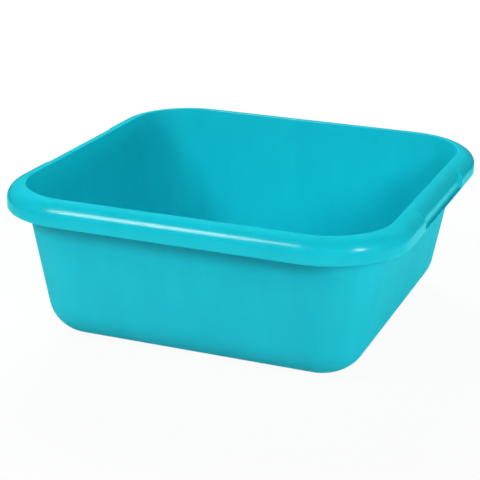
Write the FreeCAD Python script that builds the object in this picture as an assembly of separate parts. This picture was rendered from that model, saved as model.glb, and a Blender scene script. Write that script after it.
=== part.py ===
"""Square washing-up bowl with a rolled rim and two grips, in one moulding of even wall.

Millimetres, +Z up. The origin is the middle of the underside, X runs along the front,
Y runs from the front to the back, and the grips are on the two X sides.
"""
import FreeCAD, Part
import math
import os

# Overall size
bowl_span = 350.0
bowl_height = 133.5

# Wall and base: insets of the wall's outer face from the outer edge of the rim
shell_thickness = 2.4
wall_inset_at_rim = 13.6
wall_inset_at_base = 37.8
heel_radius = 33.0
base_corner_radius = 6.6

# Rim: the top rolls over and down into a plain skirt
rim_thickness = 2.2
rim_edge_radius = 1.2
roll_depth = 12.0
skirt_depth = 19.6

# Grips: stretches of the rim where the skirt is set in above a ledge
grip_length = 125.0
grip_recess = 3.3
grip_ledge_thickness = 2.2

# Share of a quarter ellipse's half-axis that places its two inner control points
quarter_round_share = 0.5523

# Counter-clockwise from the +X side, seen from above
side_names = ["right", "back", "left", "front"]
corner_names = ["back_right", "back_left", "front_left", "front_right"]
quarter_turn = 90.0

# Slant of the wall
wall_slope = (wall_inset_at_base - wall_inset_at_rim) / bowl_height
wall_angle = math.atan(wall_slope)
slant_factor = math.hypot(1, wall_slope)

# All rounds of a corner share one upright axis, so the rim's round is the base's and the insets between
inner_heel_radius = heel_radius - shell_thickness
wall_inset_at_heel = wall_inset_at_rim + wall_slope * (bowl_height - heel_radius)
rim_corner_radius = base_corner_radius + heel_radius * slant_factor + wall_inset_at_heel
corner_axis_offset = bowl_span / 2 - rim_corner_radius
straight_run = 2 * corner_axis_offset

# Heights of the rim's parts
rim_seat_height = bowl_height - rim_thickness
skirt_bottom_height = bowl_height - skirt_depth
roll_foot_height = bowl_height - roll_depth


def point(radius, height):
    """A profile point: distance out from a corner's upright axis, and height."""
    return FreeCAD.Vector(radius, 0, height)


def wall_outer_radius(height):
    """Distance of the wall's outer face from the corner's axis at a height."""
    inset = wall_inset_at_rim + wall_slope * (bowl_height - height)
    return rim_corner_radius - inset


def wall_inner_radius(height):
    """The inner face lies one shell thickness, square to the slant, inside the outer one."""
    return wall_outer_radius(height) - shell_thickness * slant_factor


def heel_point(radius, angle):
    """A point on a round about the heel's centre; the angle is below the horizontal."""
    out = base_corner_radius + radius * math.cos(angle)
    return point(out, heel_radius - radius * math.sin(angle))


def line(start, end):
    return Part.LineSegment(start, end).toShape()


def heel_arc(radius):
    """The round from the slanted wall down to the level base."""
    base_angle = math.pi / 2
    middle_angle = (wall_angle + base_angle) / 2
    angles = [wall_angle, middle_angle, base_angle]
    return Part.Arc(*[heel_point(radius, angle) for angle in angles]).toShape()


def quarter_roll(crest, foot):
    """A quarter ellipse that leaves the crest level and reaches the foot upright."""
    reach = (foot.x - crest.x) * quarter_round_share
    drop = (crest.z - foot.z) * quarter_round_share
    curve = Part.BezierCurve()
    curve.setPoles([crest, crest + point(reach, 0), foot + point(0, drop), foot])
    return curve.toShape()


def profile_face(edges):
    return Part.Face(Part.Wire(edges))


def wall_profile():
    """Section of wall and heel, from the rim's seat down to the edge of the flat base."""
    outer_top = point(wall_outer_radius(rim_seat_height), rim_seat_height)
    inner_top = point(wall_inner_radius(rim_seat_height), rim_seat_height)
    outer_tangent = heel_point(heel_radius, wall_angle)
    inner_tangent = heel_point(inner_heel_radius, wall_angle)
    outer_foot = heel_point(heel_radius, math.pi / 2)
    inner_foot = heel_point(inner_heel_radius, math.pi / 2)
    return profile_face([
        line(outer_top, outer_tangent),
        heel_arc(heel_radius),
        line(outer_foot, inner_foot),
        heel_arc(inner_heel_radius),
        line(inner_tangent, inner_top),
        line(inner_top, outer_top),
    ])


def rim_inner_edge():
    """The rounded inner edge: its start on the wall's inner face, and the crest of the rim."""
    centre_height = bowl_height - rim_edge_radius
    centre_radius = wall_inner_radius(centre_height) + rim_edge_radius * slant_factor
    centre = point(centre_radius, centre_height)

    def edge_point(angle):
        return centre + point(-rim_edge_radius * math.cos(angle), rim_edge_radius * math.sin(angle))

    angles = [wall_angle, (wall_angle + math.pi / 2) / 2, math.pi / 2]
    start, middle, crest = [edge_point(angle) for angle in angles]
    return start, Part.Arc(start, middle, crest).toShape(), crest


def rim_section(skirt_radius, outer_steps):
    """Section of the rim; outer_steps are the skirt's outer points below the roll."""
    seat_outer = point(wall_outer_radius(rim_seat_height), rim_seat_height)
    seat_inner = point(wall_inner_radius(rim_seat_height), rim_seat_height)
    edge_start, edge_round, crest = rim_inner_edge()
    roll_foot = point(skirt_radius, roll_foot_height)
    under_radius = skirt_radius - rim_thickness
    skirt_inner = point(under_radius, skirt_bottom_height)
    under_foot = point(under_radius, roll_foot_height)
    corners = [roll_foot] + outer_steps + [skirt_inner, under_foot]
    skirt = [line(start, end) for start, end in zip(corners, corners[1:])]
    underside = quarter_roll(seat_outer, under_foot)
    edges = [line(seat_outer, seat_inner), line(seat_inner, edge_start), edge_round]
    edges += [quarter_roll(crest, roll_foot)] + skirt + [underside]
    return profile_face(edges)


def plain_rim_profile():
    skirt_foot = point(rim_corner_radius, skirt_bottom_height)
    return rim_section(rim_corner_radius, [skirt_foot])


def grip_profile():
    """The rim at a grip: the skirt set in, with a ledge out to the rim's outer edge."""
    recessed_radius = rim_corner_radius - grip_recess
    ledge_height = skirt_bottom_height + grip_ledge_thickness
    steps = [
        point(recessed_radius, ledge_height),
        point(rim_corner_radius, ledge_height),
        point(rim_corner_radius, skirt_bottom_height),
    ]
    return rim_section(recessed_radius, steps)


def side_run(face, length):
    """A profile carried straight along the +X side, centred on it."""
    run = face.extrude(FreeCAD.Vector(0, length, 0))
    run.translate(FreeCAD.Vector(corner_axis_offset, -length / 2, 0))
    return run


def corner_turn(face):
    """A profile turned a quarter about the upright axis of the corner at +X, +Y."""
    turn = face.revolve(FreeCAD.Vector(0, 0, 0), FreeCAD.Vector(0, 0, 1), quarter_turn)
    turn.translate(FreeCAD.Vector(corner_axis_offset, corner_axis_offset, 0))
    return turn


def turned(shape, quarters):
    """A copy turned about the upright axis through the origin by a number of quarter turns."""
    copy = shape.copy()
    copy.rotate(FreeCAD.Vector(0, 0, 0), FreeCAD.Vector(0, 0, 1), quarters * quarter_turn)
    return copy


def rim_corner(face, grip_side_first):
    """A corner of the rim with the straight stretch that runs from it to the grip."""
    stretch = (straight_run - grip_length) / 2
    if grip_side_first:
        stub = face.extrude(FreeCAD.Vector(0, -stretch, 0))
    else:
        stub = turned(face, 1).extrude(FreeCAD.Vector(-stretch, 0, 0))
    stub.translate(FreeCAD.Vector(corner_axis_offset, corner_axis_offset, 0))
    return corner_turn(face).fuse(stub).removeSplitter()


def base_panel():
    """The flat middle of the base, out to where the heel starts to rise."""
    half = corner_axis_offset + base_corner_radius
    low_corner = FreeCAD.Vector(-half, -half, 0)
    plate = Part.makeBox(2 * half, 2 * half, shell_thickness, low_corner)
    upright = [edge for edge in plate.Edges if edge.Curve.Direction.z]
    return plate.makeFillet(base_corner_radius, upright)


def export(shape, node):
    shape.exportStep("parts/" + node + ".step")
    print(node, "valid", shape.isValid(), "solids", len(shape.Solids), "volume", round(shape.Volume))


os.makedirs("parts", exist_ok=True)
export(base_panel(), "base_panel")

wall = wall_profile()
rim = plain_rim_profile()
for quarters, side in enumerate(side_names):
    export(turned(side_run(wall, straight_run), quarters), side + "_wall")
    if side in ("right", "left"):
        export(turned(side_run(grip_profile(), grip_length), quarters), side + "_grip")
    else:
        export(turned(side_run(rim, straight_run), quarters), side + "_rim")

for quarters, corner in enumerate(corner_names):
    grip_side_first = quarters % 2 == 0
    export(turned(corner_turn(wall), quarters), corner + "_wall_corner")
    export(turned(rim_corner(rim, grip_side_first), quarters), corner + "_rim_corner")
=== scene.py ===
# %% [markdown]
# # A square washing-up bowl, moulded in one piece
# The real bowl is a single injection moulding of turquoise polypropylene: a flat base, four drafted
# walls with round corners, and a rim that rolls over into a skirt, with a grip let in on two sides.
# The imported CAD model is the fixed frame. Its seventeen solids are features of that one moulding, so
# here one seamless surface stands for all of them.

import bpy
import numpy as np
from mathutils import Matrix, Vector


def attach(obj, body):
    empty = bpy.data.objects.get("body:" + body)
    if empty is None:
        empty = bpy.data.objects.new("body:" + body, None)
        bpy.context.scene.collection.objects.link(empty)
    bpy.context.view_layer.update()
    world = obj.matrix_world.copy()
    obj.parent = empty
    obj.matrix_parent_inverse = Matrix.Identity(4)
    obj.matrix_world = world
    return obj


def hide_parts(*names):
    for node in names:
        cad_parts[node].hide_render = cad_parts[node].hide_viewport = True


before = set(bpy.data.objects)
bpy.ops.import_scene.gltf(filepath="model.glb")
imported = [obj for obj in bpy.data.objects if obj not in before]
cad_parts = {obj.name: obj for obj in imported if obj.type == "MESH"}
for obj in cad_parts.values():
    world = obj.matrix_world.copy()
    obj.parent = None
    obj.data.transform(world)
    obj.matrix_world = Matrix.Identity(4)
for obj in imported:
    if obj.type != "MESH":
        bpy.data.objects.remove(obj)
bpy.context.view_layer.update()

# %% [markdown]
# ## Sizes
# These are the sizes of the CAD model, in millimetres. A profile point has a reach, its distance out
# from the upright axis of a corner, and a height. Every corner is concentric, so the same profile
# serves the straight sides and the corners.

# %% Sizes in millimetres
MM = 0.001
SPAN = 350.0
HEIGHT = 133.5
SHELL = 2.4
WALL_INSET_RIM = 13.6
WALL_INSET_BASE = 37.8
HEEL = 33.0
BASE_CORNER = 6.6
RIM = 2.2
RIM_EDGE = 1.2
ROLL_DEPTH = 12.0
SKIRT_DEPTH = 19.6
GRIP_LENGTH = 125.0

slope = (WALL_INSET_BASE - WALL_INSET_RIM) / HEIGHT
slant = np.hypot(1.0, slope)
draft_deg = np.degrees(np.arctan(slope))
rim_corner = BASE_CORNER + HEEL * slant + WALL_INSET_RIM + slope * (HEIGHT - HEEL)
corner_axis = SPAN / 2 - rim_corner
print("wall draft in degrees", round(draft_deg, 2), "rim corner radius", round(rim_corner, 2))

# %% [markdown]
# ## The section of the moulding
# Cut the bowl in two and the section is one thin closed outline: over the inside floor, up the wall,
# over the rim, down the skirt, back up inside it, down the outer wall and under the base. It could be
# drawn as a curve and bevelled, but numbers give exact tangents. Each stretch below is a short array
# of points, and each leaves out its last point, because the next stretch starts there.


# %% Stretches of an outline
def straight(start, end, count):
    """Even steps along a line: start + t (end - start), for t from 0 up to but without 1."""
    t = np.linspace(0, 1, count, endpoint=False)[:, None]
    return np.array(start) + t * (np.array(end) - np.array(start))


def oval(centre, half_axes, from_deg, to_deg, count):
    """Even turns on an ellipse: centre + half-axes (cos a, sin a), without the last angle."""
    a = np.radians(np.linspace(from_deg, to_deg, count, endpoint=False))
    return np.array(centre) + np.array(half_axes) * np.stack([np.cos(a), np.sin(a)], axis=1)


def wall_outside(height):
    """Reach of the wall's outer face: the rim corner less an inset that grows with the drop."""
    return rim_corner - WALL_INSET_RIM - slope * (HEIGHT - height)


print("reach of the wall at the base", round(wall_outside(0.0), 2))

# %% [markdown]
# ## Two rims with the same number of points
# The plain rim goes straight down from the roll to a rounded edge. At a grip the skirt is set in, and
# a ledge runs out to the rim's outer edge below the fingers. Both outlines have the same stretches
# with the same counts, so one can be turned into the other point by point along the side. The solids
# have a grip 3.3 mm deep over a ledge of 2.2 mm. The bright strip on the real grip is wider than that
# gives, so the surface here has a slightly shallower grip over a thinner ledge.

# %% Sizes of the rim
GRIP_RECESS = 2.4
LEDGE = 1.5
FILLET = 0.4
EDGE = RIM / 2
foot_z = HEIGHT - ROLL_DEPTH
ledge_z = HEIGHT - SKIRT_DEPTH + LEDGE
edge_z = HEIGHT - SKIRT_DEPTH + EDGE
crest_z = HEIGHT - RIM_EDGE
seat = (wall_outside(HEIGHT - RIM), HEIGHT - RIM)
crest_reach = wall_outside(crest_z) - SHELL * slant + RIM_EDGE * slant
print("rim width", round(rim_corner - crest_reach, 2), "height of the ledge", round(ledge_z, 2))

# %% The rim outlines
ROLL_POINTS = 30
STEP_POINTS = (10, 6, 4, 6)
EDGE_POINTS = 6
UNDER_ROLL_POINTS = 14
# One quarter turn of the lower edge stops, and the other starts, this far from straight down
EDGE_GAP_DEG = 2
# Heights over the ledge where the plain skirt's points gather, to meet the points of the ledge
GATHER_HEIGHTS = (0.5, 0.2, -0.2)


def rim_outline(recess):
    """From the crest of the rim to its seat on the wall, with the skirt set in by recess."""
    face = rim_corner - recess
    under = face - RIM
    if recess:
        inner = (face + FILLET, ledge_z + FILLET)
        lip = (rim_corner - FILLET, ledge_z - FILLET)
        step = [
            straight((face, foot_z), (face, inner[1]), STEP_POINTS[0]),
            oval(inner, (FILLET, FILLET), 180, 270, STEP_POINTS[1]),
            straight((inner[0], ledge_z), (lip[0], ledge_z), STEP_POINTS[2]),
            oval(lip, (FILLET, FILLET), 90, 0, STEP_POINTS[3]),
        ]
    else:
        heights = [foot_z, *(ledge_z + gather for gather in GATHER_HEIGHTS), edge_z]
        step = [straight((face, above), (face, below), count)
                for above, below, count in zip(heights, heights[1:], STEP_POINTS)]
    return np.concatenate([
        oval((crest_reach, foot_z), (face - crest_reach, ROLL_DEPTH), 90, 0, ROLL_POINTS),
        *step,
        oval((rim_corner - EDGE, edge_z), (EDGE, EDGE), 0, EDGE_GAP_DEG - 90, EDGE_POINTS),
        oval((under + EDGE, edge_z), (EDGE, EDGE), -90 - EDGE_GAP_DEG, -180, EDGE_POINTS),
        straight((under, edge_z), (under, foot_z), EDGE_POINTS),
        oval((seat[0], foot_z), (under - seat[0], ROLL_DEPTH - RIM), 0, 90, UNDER_ROLL_POINTS),
    ])


plain_rim = rim_outline(0.0)
grip_rim = rim_outline(GRIP_RECESS)
print("rim outline points", len(plain_rim), len(grip_rim))

# %% [markdown]
# ## The whole section
# The wall and the heel are the same all round. The floor and the underside are drawn later as rings
# that shrink to the middle, so the section starts and ends at the edge of the flat base.

# %% The section from floor to underside
HEEL_POINTS = 22
WALL_POINTS = 26
CREST_POINTS = 8
inner_heel = HEEL - SHELL
heel_middle = (BASE_CORNER, HEEL)
inner_edge = (crest_reach, crest_z)
inner_tangent = oval(heel_middle, (inner_heel, inner_heel), -draft_deg, 0, 1)[0]
outer_tangent = oval(heel_middle, (HEEL, HEEL), -draft_deg, 0, 1)[0]
edge_start = oval(inner_edge, (RIM_EDGE, RIM_EDGE), 180 - draft_deg, 90, 1)[0]
inside = np.concatenate([
    oval(heel_middle, (inner_heel, inner_heel), -90, -draft_deg, HEEL_POINTS),
    straight(inner_tangent, edge_start, WALL_POINTS),
    oval(inner_edge, (RIM_EDGE, RIM_EDGE), 180 - draft_deg, 90, CREST_POINTS),
])
outside = np.concatenate([
    straight(seat, outer_tangent, WALL_POINTS),
    oval(heel_middle, (HEEL, HEEL), -draft_deg, -90, HEEL_POINTS),
    np.array([[BASE_CORNER, 0.0]]),
])
plain = np.concatenate([inside, plain_rim, outside])
grip = np.concatenate([inside, grip_rim, outside])
print("section points", len(plain))

# %% [markdown]
# ## The path round the bowl
# A rounded square is four straight runs and four quarter turns. For each station on the path we keep
# the point on the square of corner axes and the outward direction, so that a section point lands at
# axis point + reach times direction. Stations are close together at the ends of the grips, where the
# skirt changes over a few millimetres, and wide apart elsewhere.

# %% Places along the sides
# Stations are close together from this far before a grip's end to this far beyond it
FINE_REACH = 7.0
FINE_STATIONS = 29
BEYOND_STATIONS = 8
GRIP_STATIONS = 26
SIDE_STATIONS = 32
CORNER_STATIONS = 33
grip_half = GRIP_LENGTH / 2
fine = np.linspace(grip_half - FINE_REACH, grip_half + FINE_REACH, FINE_STATIONS)
beyond = np.linspace(corner_axis, fine[-1], BEYOND_STATIONS, endpoint=False)
grip_middle = np.linspace(-fine[0], fine[0], GRIP_STATIONS)[1:-1]
grip_side = np.concatenate([-beyond, -fine[::-1], grip_middle, fine, beyond[::-1]])
plain_side = np.linspace(-corner_axis, corner_axis, SIDE_STATIONS)
quarter = np.radians(np.linspace(0, 90, CORNER_STATIONS))[1:-1]
print("stations on a grip side", len(grip_side), "and on a corner", len(quarter))

# %% Stations on the path
# A place along the side that is far from any grip
NO_GRIP = SPAN


def side_and_corner(along):
    """The +X side and the corner after it: axis points, directions and the place along the side."""
    run = np.stack([np.full_like(along, corner_axis), along], axis=1)
    turn = np.full((len(quarter), 2), corner_axis)
    run_out = np.tile([1.0, 0.0], (len(along), 1))
    turn_out = np.stack([np.cos(quarter), np.sin(quarter)], axis=1)
    place = np.concatenate([along, np.full(len(quarter), NO_GRIP)])
    return np.concatenate([run, turn]), np.concatenate([run_out, turn_out]), place


axis_points, outward, grip_place = [], [], []
for quarters, along in enumerate([grip_side, plain_side, grip_side, plain_side]):
    points, out, place = side_and_corner(along)
    c, s = [(1, 0), (0, 1), (-1, 0), (0, -1)][quarters]
    turn = np.array([[c, s], [-s, c]])
    axis_points.append(points @ turn)
    outward.append(out @ turn)
    grip_place.append(place if quarters % 2 == 0 else np.full_like(place, NO_GRIP))
axis_points = np.concatenate(axis_points)
outward = np.concatenate(outward)
grip_place = np.abs(np.concatenate(grip_place))
print("stations", len(outward))

# %% [markdown]
# ## Carrying the section round
# At each station the section is a mix of the plain one and the grip one. The share follows a smooth
# step along the side. The ends of a real grip lean, because the steel has to draw out of the mould
# upwards, so the step sits further out at the top of the rim than at the bottom of the skirt.

# %% Carry the section
STEP_WIDTH = 3.4
END_LEAN = 6.0


def smooth_step(x):
    """0 below 0, 1 above 1, and 3x^2 - 2x^3 between."""
    x = np.clip(x, 0, 1)
    return x * x * (3 - 2 * x)


def carried(plain_section, grip_section):
    """Points [station, section point]: axis point + reach x direction, at the mixed height.
    The grip's share is a smooth step of the distance to its end, which shifts with the drop."""
    drop_share = np.clip((HEIGHT - plain_section[:, 1]) / SKIRT_DEPTH, 0, 1)
    ends = grip_half + END_LEAN * (0.5 - drop_share)
    share = smooth_step((ends[None, :] - grip_place[:, None]) / STEP_WIDTH + 0.5)[..., None]
    mixed = (1 - share) * plain_section + share * grip_section
    level = axis_points[:, None, :] + mixed[..., :1] * outward[:, None, :]
    return np.concatenate([level, mixed[..., 1:]], axis=2)


shell = carried(plain, grip)
print("shell grid", shell.shape[:2])

# %% [markdown]
# ## Polished and satin parts
# The inside and the rim came off polished steel, and the outer wall off steel with a fine texture. Each
# point of the section gets a share of satin: none inside and down to the skirt's lower edge, and all of
# it from there on, where the eye sees no border. The material reads the share from the mesh.

# %% The share of satin
skirt_edge = len(inside) + np.argmin(plain_rim[:, 1])
satin_section = np.where(np.arange(len(plain)) > skirt_edge, 1.0, 0.0)
print("satin points", int(satin_section.sum()), "of", len(plain))

# %% [markdown]
# ## The flat base
# The floor inside and the underside are rings that shrink from the rounded square at the heel to a
# point. Near the middle the rings turn into circles, so that the mark of the gate, where the plastic
# was let into the mould, can be a small round hollow in the underside. A flat base needs few rings,
# and only the hollow has them close together.

# %% Rings of the base
OUTER_RINGS = 14
MIDDLE_RINGS = 18
OUTER_SHARES = (1.0, 0.12)
MIDDLE_SHARES = (0.105, 0.006)
CIRCLE_BELOW = 0.25
SQUARE_ABOVE = 0.95
ring_share = np.concatenate([np.linspace(*OUTER_SHARES, OUTER_RINGS)[1:],
                             np.linspace(*MIDDLE_SHARES, MIDDLE_RINGS)])


def base_rings(height_at):
    """Rings [station, ring]: share x (square edge blended into a circle), at height_at(radius)."""
    edge = axis_points + BASE_CORNER * outward
    radius = corner_axis + BASE_CORNER
    circle = radius * edge / np.linalg.norm(edge, axis=1, keepdims=True)
    squareness = (ring_share - CIRCLE_BELOW) / (SQUARE_ABOVE - CIRCLE_BELOW)
    square_share = smooth_step(squareness)[None, :, None]
    level = square_share * edge[:, None, :] + (1 - square_share) * circle[:, None, :]
    level = level * ring_share[None, :, None]
    height = height_at(np.linalg.norm(level, axis=2, keepdims=True))
    return np.concatenate([level, height], axis=2)


floor_rings = base_rings(lambda radius: np.full_like(radius, SHELL))[:, ::-1]
print("rings on each face of the base", len(ring_share))

# %% The mark of the gate
HOLLOW_RADIUS = 9.0
HOLLOW_DEPTH = 0.7
HOLLOW_EDGE = 2.0
STUB_RADIUS = 2.2
STUB_HEIGHT = 0.5
STUB_EDGE = 0.6


def underside_height(radius):
    """0, with a hollow of smooth edge about the middle and the broken-off stub of the gate in it."""
    hollow = HOLLOW_DEPTH * smooth_step((HOLLOW_RADIUS - radius) / HOLLOW_EDGE + 0.5)
    return hollow - STUB_HEIGHT * smooth_step((STUB_RADIUS - radius) / STUB_EDGE + 0.5)


underside_rings = base_rings(underside_height)
grid = np.concatenate([floor_rings, shell, underside_rings], axis=1)
satin_row = np.concatenate([np.zeros(len(ring_share)), satin_section, np.ones(len(ring_share))])
middles = np.array([[0, 0, SHELL], [0, 0, underside_height(np.zeros(1))[0]]])
print("grid", grid.shape[:2])

# %% [markdown]
# ## One closed surface
# The grid closes round the bowl, and its first and last rings each end in a pole in the middle of the
# base, so the surface has no open edge. A Screw modifier could do the same for a round bowl, but not
# for a square one with grips. The sign of the volume tells whether the faces point outwards.


# %% Make the mesh
def closed_grid(name, grid, poles):
    """A mesh from a grid that closes round its first axis and ends in a pole at each end of its
    second. Its volume is a sixth of the sum of a . (b x c) over the two triangles of each quad."""
    stations, rows = grid.shape[:2]
    index = np.arange(stations * rows).reshape(stations, rows)
    after = np.roll(index, -1, axis=0)
    quads = np.stack([index[:, :-1], after[:, :-1], after[:, 1:], index[:, 1:]], axis=-1)
    quads = quads.reshape(-1, 4)
    first, last = stations * rows, stations * rows + 1
    start_fan = np.stack([after[:, 0], index[:, 0], np.full(stations, first)], axis=1)
    end_fan = np.stack([index[:, -1], after[:, -1], np.full(stations, last)], axis=1)
    points = np.concatenate([grid.reshape(-1, 3), poles]) * MM
    mesh = bpy.data.meshes.new(name)
    mesh.from_pydata(points.tolist(), [], quads.tolist() + start_fan.tolist() + end_fan.tolist())
    a, b, c, d = np.moveaxis(points[quads], 1, 0)
    volume = (np.sum(a * np.cross(b, c)) + np.sum(a * np.cross(c, d))) / 6
    if volume < 0:
        mesh.flip_normals()
    mesh.polygons.foreach_set("use_smooth", np.ones(len(mesh.polygons), dtype=bool))
    mesh.update()
    piece = bpy.data.objects.new(name, mesh)
    bpy.context.scene.collection.objects.link(piece)
    print(name, "points", len(points), "volume cm3", round(abs(volume) * 1e6, 1))
    return piece


bowl = closed_grid("washing_up_bowl", grid, middles)
satin = np.concatenate([np.tile(satin_row, len(grid)), [0, 1]]).astype(np.float32)
bowl.data.attributes.new("satin", "FLOAT", "POINT").data.foreach_set("value", satin)

# %% [markdown]
# ## Glossy polypropylene
# Injection-moulded polypropylene has a deep even colour and a soft gloss: the mould was polished, but
# the plastic shrinks as it cools, so the surface has a very slight orange peel, and the flow of the
# melt leaves broad faint streaks. Colour, gloss and bump each get a little of that, at its real size.
# The satin outside is the same plastic with a higher roughness. A little light goes in below the
# surface and comes out again, which softens the shade under the skirt.


# %% Colours and nodes
def to_linear(hex_colour):
    """sRGB hex to linear RGBA: c / 12.92 below 0.04045, else ((c + 0.055) / 1.055) ^ 2.4."""
    c = np.array([int(hex_colour[i:i + 2], 16) for i in (1, 3, 5)]) / 255
    c = np.where(c <= 0.04045, c / 12.92, ((c + 0.055) / 1.055) ** 2.4)
    return (*c, 1.0)


def add_node(tree, kind, settings=None, sources=(), **links):
    """Adds a node. Settings named or numbered for an input fill it, and others are the node's own.
    Sources are linked to the first inputs in turn, and links to the inputs of their names."""
    node = tree.nodes.new(kind)
    for key, value in (settings or {}).items():
        if isinstance(key, int) or key in node.inputs:
            node.inputs[key].default_value = value
        else:
            setattr(node, key, value)
    for place, source in enumerate(sources):
        tree.links.new(source, node.inputs[place])
    for name, source in links.items():
        tree.links.new(source, node.inputs[name.replace("_", " ")])
    return node


def per_metre(millimetres):
    """Noise scale, in cells for each metre, for cells of that size."""
    return 1 / (millimetres * MM)


TURQUOISE = "#10bac9"
LIGHT_TURQUOISE = "#13c0ce"
print("turquoise in linear light", [round(float(v), 3) for v in to_linear(TURQUOISE)])

# %% Patterns of the plastic
# Most of a noise pattern's values lie between these two
NOISE_LOW, NOISE_HIGH = 0.3, 0.7
# Widths in millimetres of the streaks, which are about eight times as tall, of the clouds in the
# gloss and of the dimples of the orange peel
STREAK_WIDTH = 22
STREAK_SQUEEZE = (1.0, 1.0, 0.12)
CLOUD_WIDTH = 60
PEEL_WIDTH = 1.6
plastic = bpy.data.materials.new("glossy_moulded_polypropylene")
plastic.use_nodes = True
tree = plastic.node_tree
tree.nodes.clear()
place = add_node(tree, "ShaderNodeTexCoord").outputs["Object"]
upright = add_node(tree, "ShaderNodeMapping", {"Scale": STREAK_SQUEEZE}, Vector=place)
streaks = add_node(tree, "ShaderNodeTexNoise",
                   {"Scale": per_metre(STREAK_WIDTH), "Detail": 3.0, "Roughness": 0.55},
                   Vector=upright.outputs["Vector"])
clouds = add_node(tree, "ShaderNodeTexNoise",
                  {"Scale": per_metre(CLOUD_WIDTH), "Detail": 2.0}, Vector=place)
peel = add_node(tree, "ShaderNodeTexNoise",
                {"Scale": per_metre(PEEL_WIDTH), "Detail": 2.0}, Vector=place)
print(plastic.name, "pattern nodes", len(tree.nodes))

# %% The bowl's material
POLISHED_ROUGHNESS = (0.18, 0.24)
SATIN_ROUGHNESS = 0.55
PEEL_DEPTH = 0.02
SCATTER_DEPTH = 2.5
colour = add_node(tree, "ShaderNodeValToRGB", Fac=streaks.outputs["Fac"])
colour.color_ramp.elements[0].position = NOISE_LOW
colour.color_ramp.elements[0].color = to_linear(TURQUOISE)
colour.color_ramp.elements[1].position = NOISE_HIGH
colour.color_ramp.elements[1].color = to_linear(LIGHT_TURQUOISE)
gloss = add_node(tree, "ShaderNodeMapRange",
                 {"From Min": NOISE_LOW, "From Max": NOISE_HIGH,
                  "To Min": POLISHED_ROUGHNESS[0], "To Max": POLISHED_ROUGHNESS[1]},
                 Value=clouds.outputs["Fac"])
dull = add_node(tree, "ShaderNodeAttribute", {"attribute_name": "satin"}).outputs["Fac"]
rough = add_node(tree, "ShaderNodeMath", {"operation": "MULTIPLY_ADD", 1: SATIN_ROUGHNESS}, [dull])
tree.links.new(gloss.outputs["Result"], rough.inputs[2])
bump = add_node(tree, "ShaderNodeBump", {"Strength": 0.25, "Distance": PEEL_DEPTH * MM},
                Height=peel.outputs["Fac"])
surface = add_node(tree, "ShaderNodeBsdfPrincipled",
                   {"IOR": 1.49, "Specular IOR Level": 0.35, "Subsurface Weight": 0.5,
                    "Subsurface Radius": (0.2, 1.0, 1.1), "Subsurface Scale": SCATTER_DEPTH * MM},
                   Base_Color=colour.outputs["Color"], Roughness=rough.outputs["Value"],
                   Normal=bump.outputs["Normal"])
add_node(tree, "ShaderNodeOutputMaterial", Surface=surface.outputs["BSDF"])
bowl.data.materials.append(plastic)
print(plastic.name, "nodes", len(tree.nodes))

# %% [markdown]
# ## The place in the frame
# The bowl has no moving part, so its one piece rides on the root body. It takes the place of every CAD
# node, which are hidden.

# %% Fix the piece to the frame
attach(bowl, "root")
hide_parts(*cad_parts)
print(bowl.name, "stands for", len(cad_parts), "nodes")

# %% [markdown]
# ## The camera
# The photograph was taken from a little over a metre away, from above and a little to the right.
# The camera looks at a point near the middle of the bowl from that direction, with a slight roll.

# %% The camera
CAMERA_AZIMUTH = 21.204
CAMERA_ELEVATION = 19.583
CAMERA_ROLL = 0.860
CAMERA_DISTANCE = 1281.774
CAMERA_TARGET = (-9.448, 0.0, 60.296)
FOCAL_PIXELS = 1424.617
IMAGE_PIXELS = 480
SENSOR_WIDTH = 36.0


def direction(azimuth, elevation):
    """Unit vector at an azimuth a, from the front towards the right, and an elevation e, both in
    degrees: (sin a cos e, -cos a cos e, sin e)."""
    a, e = np.radians([azimuth, elevation])
    return Vector((np.sin(a) * np.cos(e), -np.cos(a) * np.cos(e), np.sin(e)))


backward = direction(CAMERA_AZIMUTH, CAMERA_ELEVATION)
level_right = Vector((0, 0, 1)).cross(backward).normalized()
level_up = backward.cross(level_right)
roll = np.radians(CAMERA_ROLL)
right = level_right * np.cos(roll) + level_up * np.sin(roll)
up = level_up * np.cos(roll) - level_right * np.sin(roll)
camera = bpy.data.objects.new("camera", bpy.data.cameras.new("camera"))
bpy.context.scene.collection.objects.link(camera)
camera.data.sensor_width = SENSOR_WIDTH
camera.data.lens = FOCAL_PIXELS * SENSOR_WIDTH / IMAGE_PIXELS
turn = Matrix((right, up, backward)).transposed()
stand = Vector(CAMERA_TARGET) * MM + backward * CAMERA_DISTANCE * MM
camera.matrix_world = Matrix.Translation(stand) @ turn.to_4x4()
bpy.context.scene.camera = camera
print("camera at", [round(v, 3) for v in stand], "lens", round(camera.data.lens, 1))

# %% [markdown]
# ## The floor
# The photograph is a studio shot on white. A wide floor of pale grey paper fills the frame: grey, so
# that it throws only a little light up under the skirt, where the real bowl is dark. To the camera the
# paper is mixed with a glow of strength 1, so that it looks white and still keeps some of the bowl's
# shadow. In the bowl's gloss the paper becomes a painted reflection: a glow tinted turquoise, bright
# near the bowl and fading to the dark room within a metre. That painted reflection gives the right rim
# its dark band above a bright skirt.

# %% The floor
FLOOR_RADIUS = 8.0
FLOOR_POINTS = 96
# Just under the base, so that the two faces don't share a plane
FLOOR_HEIGHT = -0.0004
turns = np.linspace(0, 2 * np.pi, FLOOR_POINTS, endpoint=False)
disc = np.stack([FLOOR_RADIUS * np.cos(turns), FLOOR_RADIUS * np.sin(turns),
                 np.full(FLOOR_POINTS, FLOOR_HEIGHT)], axis=1)
floor_mesh = bpy.data.meshes.new("floor")
floor_mesh.from_pydata(disc.tolist(), [], [list(range(FLOOR_POINTS))])
floor = bpy.data.objects.new("floor", floor_mesh)
bpy.context.scene.collection.objects.link(floor)
print("floor radius in metres", FLOOR_RADIUS)

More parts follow.
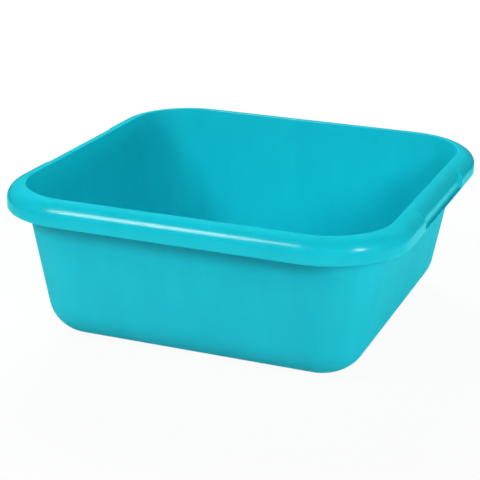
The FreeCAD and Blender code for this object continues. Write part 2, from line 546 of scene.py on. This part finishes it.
# %% The paper
WHITE_SHARE = 0.94
BRIGHT_RADIUS = 0.40
DARK_RADIUS = 0.90
paper = bpy.data.materials.new("white_paper_sweep")
paper.use_nodes = True
tree = paper.node_tree
tree.nodes.clear()
path = add_node(tree, "ShaderNodeLightPath").outputs
matt = add_node(tree, "ShaderNodeBsdfDiffuse", {"Color": to_linear("#cbcdce")}).outputs["BSDF"]
white = add_node(tree, "ShaderNodeEmission", {"Strength": 1.0}).outputs["Emission"]
direct = add_node(tree, "ShaderNodeMath", {"operation": "MULTIPLY", 1: WHITE_SHARE},
                  [path["Is Camera Ray"]]).outputs["Value"]
seen = add_node(tree, "ShaderNodeMixShader", {}, [direct, matt, white]).outputs["Shader"]
place = add_node(tree, "ShaderNodeTexCoord").outputs["Object"]
away = add_node(tree, "ShaderNodeVectorMath", {"operation": "LENGTH"}, [place]).outputs["Value"]
nearby = add_node(tree, "ShaderNodeMapRange",
                  {"interpolation_type": "SMOOTHSTEP", "From Min": BRIGHT_RADIUS,
                   "From Max": DARK_RADIUS, "To Min": 1.0, "To Max": 0.0}, [away]).outputs["Result"]
# Painted reflection: in the bowl's gloss the floor glows turquoise, brightest near the bowl and gone
# within a metre
painted_reflection_glow = add_node(tree, "ShaderNodeEmission", {"Color": to_linear("#80ffff")},
                  Strength=nearby).outputs["Emission"]
mirrored = add_node(tree, "ShaderNodeMath", {"operation": "MAXIMUM"},
                    [path["Is Glossy Ray"], path["Is Transmission Ray"]]).outputs["Value"]
both = add_node(tree, "ShaderNodeMixShader", {}, [mirrored, seen, painted_reflection_glow]).outputs["Shader"]
add_node(tree, "ShaderNodeOutputMaterial", Surface=both)
floor_mesh.materials.append(paper)
print(paper.name, "nodes", len(tree.nodes))

# %% [markdown]
# ## The light
# Five lamps only light the bowl. A key light and a side light come from the two sides of the camera. A
# fill below the key is just high enough for the skirt to shade the wall below it, and the left wall's
# shadow slants over the back wall inside. A fill behind lights the crest of the rim and the far sides,
# and a long low one the right side. Two cards show only in the gloss, as studio cards do: one is the
# long highlight on the front rim and the other the spot on the corner.

# %% The lamps
LAMP_DISTANCE = 2.2


def softbox(name, azimuth, elevation, size, watts, lights=True):
    """A rectangular lamp in a direction from the bowl, facing it. It either lights the bowl or, as a
    card, shows only in its gloss."""
    lamp = bpy.data.objects.new(name, bpy.data.lights.new(name, "AREA"))
    lamp.data.shape = "RECTANGLE"
    lamp.data.size, lamp.data.size_y = size
    lamp.data.energy = watts
    lamp.visible_diffuse = lights
    lamp.visible_glossy = not lights
    towards = direction(azimuth, elevation)
    facing = towards.to_track_quat("Z", "Y").to_matrix().to_4x4()
    lamp.matrix_world = Matrix.Translation(towards * LAMP_DISTANCE) @ facing
    bpy.context.scene.collection.objects.link(lamp)


softbox("key_light", -33.4, 46, (0.48, 0.70), 10.5)
softbox("side_light", 40, 26, (0.40, 0.50), 19)
softbox("front_fill", -33, 34.5, (0.60, 0.44), 15)
softbox("back_fill", -150, 38, (1.20, 0.80), 64)
softbox("right_fill", 90, 4, (1.60, 0.26), 18)
softbox("front_card", -33.4, 46, (0.48, 0.80), 22, lights=False)
softbox("corner_card", 64, 33.5, (0.14, 0.50), 12, lights=False)
print("lamps and cards", len(bpy.data.lights))

# %% [markdown]
# ## The room
# Around the lamps is a dim, cool, even room. The bowl's gloss shows it, which keeps the dark bands that
# the real rim has. Only the camera sees a white backdrop in its place, as in the photograph.

# %% The room
world = bpy.data.worlds.new("dim_room")
bpy.context.scene.world = world
world.use_nodes = True
tree = world.node_tree
tree.nodes.clear()
path = add_node(tree, "ShaderNodeLightPath").outputs
room = add_node(tree, "ShaderNodeBackground",
                {"Color": to_linear("#b4f4ff"), "Strength": 0.13}).outputs["Background"]
backdrop = add_node(tree, "ShaderNodeBackground",
                    {"Color": to_linear("#ffffff"), "Strength": 1.0}).outputs["Background"]
seen = add_node(tree, "ShaderNodeMixShader", {}, [path["Is Camera Ray"], room, backdrop])
add_node(tree, "ShaderNodeOutputWorld", Surface=seen.outputs["Shader"])
bpy.context.scene.view_settings.view_transform = "Standard"
print(world.name, "nodes", len(tree.nodes))
